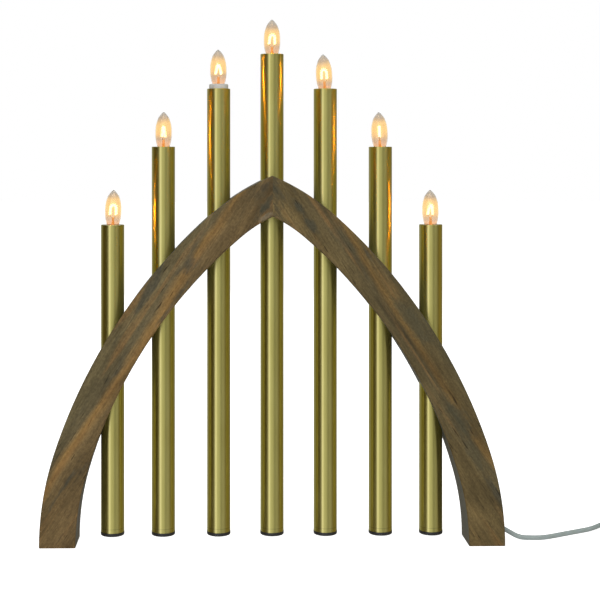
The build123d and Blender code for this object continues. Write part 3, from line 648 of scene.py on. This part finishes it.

# Painted glow: the glass stem gives off an orange light of its own, standing in for the wire's light that it
# catches.
painted_stem_glow = {"Emission Color": (1.0, 0.44, 0.10, 1), "Emission Strength": 0.45}
stem_glass = speckled("stem_glass", 700.0, 2, ((0.80, 0.40, 0.12), (0.90, 0.55, 0.22)), 0.25, painted_stem_glow)
lead_metal = speckled("lead_metal", 1200.0, 2, ((0.30, 0.22, 0.15), (0.45, 0.34, 0.24)), 0.4, bare_metal)
cap_glass = speckled("cap_insulator", 500.0, 2, ((0.012, 0.010, 0.014), (0.03, 0.025, 0.035)), 0.15)

hot_wire, tree, surface = new_material("hot_wire")
heat = noise(tree, new_node(tree, "ShaderNodeTexCoord").outputs["Object"], 300.0, 2)
glowing = {
    "Base Color": (0.3, 0.25, 0.2, 1),
    "Emission Color": ramp(tree, heat, (0.3, (1.0, 0.72, 0.36)), (0.7, (1.0, 0.82, 0.50))),
    "Emission Strength": 4,
}
set_inputs(tree, surface, glowing)


def winding_tree():
    """A wire wound in a close coil along a line, with inputs for its turns and its two radii."""
    tree = bpy.data.node_groups.new("filament_winding", "GeometryNodeTree")
    tree.interface.new_socket("Line", in_out="INPUT", socket_type="NodeSocketGeometry")
    for label in ("Turns", "Coil Radius", "Wire Radius"):
        tree.interface.new_socket(label, in_out="INPUT", socket_type="NodeSocketFloat")
    tree.interface.new_socket("Wire", in_out="INPUT", socket_type="NodeSocketMaterial")
    tree.interface.new_socket("Coil", in_out="OUTPUT", socket_type="NodeSocketGeometry")

    def made(kind, inputs=None):
        return new_node(tree, kind, inputs).outputs[0]

    given = new_node(tree, "NodeGroupInput").outputs
    points_per_turn = 9.0
    count = maths(tree, "MULTIPLY", given["Turns"], points_per_turn)
    line = made("GeometryNodeResampleCurve", {"Curve": given["Line"], "Count": count})
    share = new_node(tree, "GeometryNodeSplineParameter").outputs["Factor"]
    angle = maths(tree, "MULTIPLY", maths(tree, "MULTIPLY", share, given["Turns"]), 2 * math.pi)
    normal = made("GeometryNodeInputNormal")
    tangent = made("GeometryNodeInputTangent")
    side = vector_maths(tree, "CROSS_PRODUCT", normal, tangent)
    offsets = []
    for direction, function in ((normal, "COSINE"), (side, "SINE")):
        reach = maths(tree, "MULTIPLY", maths(tree, function, angle), given["Coil Radius"])
        offset = new_node(tree, "ShaderNodeVectorMath", {0: direction, "Scale": reach}, operation="SCALE")
        offsets.append(offset.outputs[0])
    moved = vector_maths(tree, "ADD", *offsets)
    coiled = made("GeometryNodeSetPosition", {"Geometry": line, "Offset": moved})
    section = made("GeometryNodeCurvePrimitiveCircle", {"Resolution": 6, "Radius": given["Wire Radius"]})
    swept = {"Curve": coiled, "Profile Curve": section, "Fill Caps": True}
    wire = made("GeometryNodeCurveToMesh", swept)
    smooth = made("GeometryNodeSetShadeSmooth", {"Geometry": wire})
    real = made("GeometryNodeRealizeInstances", {"Geometry": smooth})
    painted = made("GeometryNodeSetMaterial", {"Geometry": real, "Material": given["Wire"]})
    new_node(tree, "NodeGroupOutput", {"Coil": painted})
    return tree


wire_resolution = 8


def nurbs_line(name, points, resolution):
    """A smooth line near the points, which starts and ends at the first and the last."""
    data = bpy.data.curves.new(name, "CURVE")
    data.dimensions = "3D"
    data.resolution_u = resolution
    spline = data.splines.new("NURBS")
    spline.points.add(len(points) - 1)
    for point, place in zip(spline.points, points):
        point.co = (*place, 1)
    spline.order_u = 3
    spline.use_endpoint_u = True
    line = bpy.data.objects.new(name, data)
    scene.collection.objects.link(line)
    return line


def wound_mesh(name, points, tree, sizes, material):
    """The mesh that the winding tree makes along the points."""
    line = nurbs_line(name, points, wire_resolution)
    winding = line.modifiers.new("winding", "NODES")
    winding.node_group = tree
    given = {**sizes, "Wire": material}
    for item in tree.interface.items_tree:
        if item.in_out == "INPUT" and item.name in given:
            winding[item.identifier] = given[item.name]
    bpy.context.view_layer.update()
    evaluated = line.evaluated_get(bpy.context.evaluated_depsgraph_get())
    mesh = bpy.data.meshes.new_from_object(evaluated)
    bpy.data.objects.remove(line)
    return mesh


# The stem: (radius, height). Its leads and wire: (distance from the bulb's axis, height)
stem_outline = [
    (0, -0.0095),
    (0.00365, -0.0095),
    (0.00365, -0.0083),
    (0.0021, -0.0070),
    (0.0016, -0.0040),
    (0.0013, 0.0020),
    (0.0012, 0.0060),
    (0.0009, 0.0070),
    (0, 0.0073),
]
stem_steps = 32
lead_line = [(0.0006, 0.0030), (0.0008, 0.0070), (0.0024, 0.0078), (0.0029, 0.0096)]
lead_sizes = {"Turns": 3.0, "Coil Radius": 0.0, "Wire Radius": 0.00022}
wire_hook, hook_level = 0.0029, 0.0095
wire_knee, knee_level = 0.0014, 0.0138
shoulder_level = 0.0178
crown_level = 0.0190
wire_sizes = {"Turns": 15.0, "Coil Radius": 0.00112, "Wire Radius": 0.00036}
filament_tree = winding_tree()


def strung_stem(name, x, seat, turn, shoulder, slant):
    """The stem with its leads and the wire hung between them, in the plane to which the bulb has turned."""

    def wound(line, sizes, material):
        points = []
        for across, level in line:
            points.append((x + across * math.cos(turn), across * math.sin(turn), seat + level))
        return wound_mesh(name, points, filament_tree, sizes, material)

    knee = 0.5 * shoulder + wire_knee
    hung = [
        (-wire_hook, hook_level),
        (-knee, knee_level),
        (slant - shoulder, shoulder_level),
        (slant, crown_level),
        (slant + shoulder, shoulder_level),
        (knee, knee_level),
        (wire_hook, hook_level),
    ]
    parts = [(2, wound(hung, wire_sizes, hot_wire))]
    for way in (-1, 1):
        lead = [(way * across, level) for across, level in lead_line]
        parts.append((1, wound(lead, lead_sizes, lead_metal)))
    shape = bmesh.new()
    shape.from_mesh(turned_mesh("stem", stem_outline, x, seat, stem_steps, False))
    for index, mesh in parts:
        first = len(shape.faces)
        shape.from_mesh(mesh)
        shape.faces.ensure_lookup_table()
        for face in shape.faces[first:]:
            face.material_index = index
    return finished_mesh(name, shape)


# The cap's wall inside, and its foot from the insulator to the contact: (radius, depth below the rim)
cap_inside = [(0.0043, 0.0122), (0.0044, 0.0044)]
cap_foot = [(0.0023, 0.0144), (0.0019, 0.0144), (0.0019, 0.0150), (0.0014, 0.0154)]
cap_radius = 0.00475
cap_top = 0.0044
cap_length = 0.0080
cap_middle = 0.0084
cap_levels = 44
cap_steps = 48
cap_crease = 50
thread_pitch = 0.0018
thread_depth = 0.00042
thread_fade = 4


def screw_cap(name, x, seat):
    """A thin brass cap with a rolled thread, and a glass insulator round the contact at its foot."""
    shape = bmesh.new()
    thread = []
    for level in range(cap_levels + 1):
        depth = cap_top + cap_length * level / cap_levels
        fade = min(1.0, level / thread_fade, (cap_levels - level) / thread_fade)
        radii = []
        for step in range(cap_steps):
            wave = 0.5 - 0.5 * math.cos(2 * math.pi * (depth / thread_pitch + step / cap_steps))
            radii.append(cap_radius - fade * thread_depth * wave)
        thread.append(ring(shape, x, radii, seat - depth))
    foot = [ring(shape, x, [radius] * cap_steps, seat - depth) for radius, depth in cap_foot]
    inside = [ring(shape, x, [radius] * cap_steps, seat - depth) for radius, depth in cap_inside]
    rings = [*inside, *thread, *foot]
    for upper, lower in zip(rings, rings[1:]):
        for step in range(cap_steps):
            onward = (step + 1) % cap_steps
            face = shape.faces.new((upper[step], lower[step], lower[onward], upper[onward]))
            face.smooth = True
            face.material_index = 1 if upper is thread[-1] else 0
    shape.faces.new(rings[-1][::-1])
    shape.faces.new(rings[0])
    bmesh.ops.recalc_face_normals(shape, faces=shape.faces)
    mark_creases(shape, cap_crease)
    return finished_mesh(name, shape)


def leaned(mesh, x, seat, lean):
    """Tip a piece of a lamp to the right by lean degrees about the middle of its screw cap."""
    pivot = Vector((x, 0, seat - cap_middle))
    tip = Matrix.Rotation(math.radians(lean), 4, "Y")
    mesh.transform(Matrix.Translation(pivot) @ tip @ Matrix.Translation(-pivot))
    return mesh


lamp_leans = [1.4, 0.5, -0.8, 0.0, -3.0, -2.2, -0.9]
# How each wire hangs: the bulb's turn in degrees, half the width of its bend, and how far the bend has swung
filament_hangs = [
    (0, 0.0026, 0.0002),
    (58, 0.0012, 0.0),
    (14, 0.0009, 0.0),
    (10, 0.0022, 0.0005),
    (22, 0.0027, 0.0),
    (82, 0.0020, 0.0),
    (24, 0.0014, 0.0009),
]
# The wire's light is lent by two lamps in each bulb, which shine on the tubes alone
shine_levels = (0.008, 0.019)
shine_power = 0.62
shine_colour = (1.0, 0.30, 0.01)
shine_radius = 0.0082
lamps = zip(tube_places, tube_tops, holder_lifts, lamp_leans, filament_hangs)
for number, (x, top, lift, lean, (turn, shoulder, slant)) in enumerate(lamps, start=1):
    seat = top + lift
    body = f"bulb_{number}"
    for level in shine_levels:
        shine = bpy.data.lights.new(f"lamp_light_{number}", "POINT")
        shine.energy = shine_power
        shine.color = shine_colour
        shine.shadow_soft_size = shine_radius
        shining = bpy.data.objects.new(f"lamp_light_{number}", shine)
        shining.location = (x, 0, seat + level)
        shining.visible_camera = False
        shining.visible_transmission = False
        shining.visible_diffuse = False
        shining.light_linking.receiver_collection = lamplit_tubes
        scene.collection.objects.link(shining)

    name = f"flame_glass_{number}"
    flame = turned_mesh(name, glass_outline, x, seat, glass_steps, True)
    flame_piece = new_piece(name, leaned(flame, x, seat, lean), bulb_glass)
    place_piece(flame_piece, body, "bulb_glass", f"bulb_glass_{number}")

    name = f"strung_stem_{number}"
    strung = strung_stem(name, x, seat, math.radians(turn), shoulder, slant)
    strung_piece = new_piece(name, leaned(strung, x, seat, lean), stem_glass, lead_metal, hot_wire)
    place_piece(strung_piece, body, "filament", f"bulb_filament_{number}")

    name = f"screw_cap_{number}"
    cap_piece = new_piece(name, leaned(screw_cap(name, x, seat), x, seat, lean), thread_brass, cap_glass)
    place_piece(cap_piece, body, "thread_brass", f"bulb_cap_{number}")

# Wires: thin stranded copper in a pale sleeve, laid in the groove behind the arch from lamp to lamp and
# up the tubes to the holders. The back strips cover them.
sleeve_colours = ((0.55, 0.53, 0.48), (0.66, 0.64, 0.60))
wire_sleeve = speckled("wire_sleeve", 250.0, 3, sleeve_colours, (0.40, 0.55))
for name in ("link_wires", "supply_wires"):
    nodes[name].material_slots[0].material = wire_sleeve

# Mains cord: round pale grey flexible cord, held by a collar inside the right foot. It lies along the
# table, and its spare length is wound into a tied coil beside a flat moulded two-pin plug.
cord_radius = 0.00225
cord_resolution = 6
cord_route = [
    (0.2030, 0.0, 0.01866),
    (0.2192, 0.0, 0.01212),
    (0.2280, -0.0002, 0.0068),
    (0.2360, -0.0006, 0.0027),
    (0.2470, -0.0014, 0.00225),
    (0.2600, -0.0006, 0.00225),
    (0.2760, 0.0082, 0.00225),
    (0.2950, 0.0190, 0.00225),
    (0.3130, 0.0284, 0.0023),
    (0.3312, 0.0458, 0.00345),
    (0.3485, 0.0558, 0.00345),
]
tail_route = [
    (0.3880, 0.06287, 0.01845),
    (0.4050, 0.0626, 0.0122),
    (0.4210, 0.0612, 0.0076),
    (0.4350, 0.0606, 0.00695),
    (0.4475, 0.0606, 0.00695),
]
# The coil is wound inwards and outwards by turns, and climbs between one layer and the next
coil_layers = 4
coil_spans = 10
coil_turns = 10.08
coil_bore = 0.0192
turn_step = 0.0060
layer_step = 0.0050
points_per_span = 4
span_turn = 2 * math.pi * coil_turns / (coil_layers * coil_spans)
span_shift = turn_step * span_turn / (2 * math.pi)
coil_heading = (Vector(cord_route[-1]) - Vector(cord_route[-2])).normalized()
coil_side = coil_heading.cross(Vector((0, 0, 1)))
coil_radius = coil_bore + span_shift * (coil_spans - 1)
coil_middle = Vector(cord_route[-1]) + coil_heading * 2 * cord_radius + coil_side * coil_radius
coil_places = [(coil_radius, 0.0, 0.0)]
for span in range(coil_layers * coil_spans):
    layer, place = divmod(span, coil_spans)
    radius, turn, rise = coil_places[-1]
    if (place == 0 and layer > 0) or (place == coil_spans - 1 and layer < coil_layers - 1):
        rise += layer_step / 2
    else:
        radius += span_shift if layer % 2 else -span_shift
    coil_places.append((radius, turn + span_turn, rise))
coil_points = []
for (r0, a0, z0), (r1, a1, z1) in zip(coil_places, coil_places[1:]):
    for step in range(points_per_span):
        share = (step + 0.5) / points_per_span
        turn = a0 + (a1 - a0) * share
        reach = (r0 + (r1 - r0) * share) / math.cos(span_turn / points_per_span / 2)
        outward = coil_heading * math.sin(turn) - coil_side * math.cos(turn)
        coil_points.append(coil_middle + outward * reach + Vector((0, 0, z0 + (z1 - z0) * share)))
cord = nurbs_line("mains_cord", [*cord_route, *coil_points, *tail_route], cord_resolution)
cord.data.bevel_depth = cord_radius
cord.data.bevel_resolution = 5
cord.data.use_fill_caps = True

sheath_colours = ((0.245, 0.290, 0.280), (0.290, 0.335, 0.325))
cord_sheath = speckled("cord_sheath", 90.0, 4, sheath_colours, (0.36, 0.50))
cord.data.materials.append(cord_sheath)
fitting_colours = ((0.255, 0.300, 0.290), (0.300, 0.345, 0.335))
fitting_plastic = speckled("fitting_plastic", 1400.0, 2, fitting_colours, (0.42, 0.56), relief=0.2)
pin_colours = ((0.55, 0.54, 0.52), (0.68, 0.67, 0.65))
pin_metal = speckled("pin_metal", 600.0, 3, pin_colours, (0.18, 0.30), bare_metal)
cord_pieces = [
    dressed_copy("cord_tie", moulded_crease, black_plastic, "cord_fittings"),
    dressed_copy("plug_body", moulded_crease, fitting_plastic, "cord_fittings"),
    dressed_copy("plug_pins", moulded_crease, pin_metal, "pin_metal"),
]
nodes["cord_stop"].material_slots[0].material = fitting_plastic
place_piece(cord, "arch", "cord_sheath", "cord_lead", "cord_coil", "cord_tail")
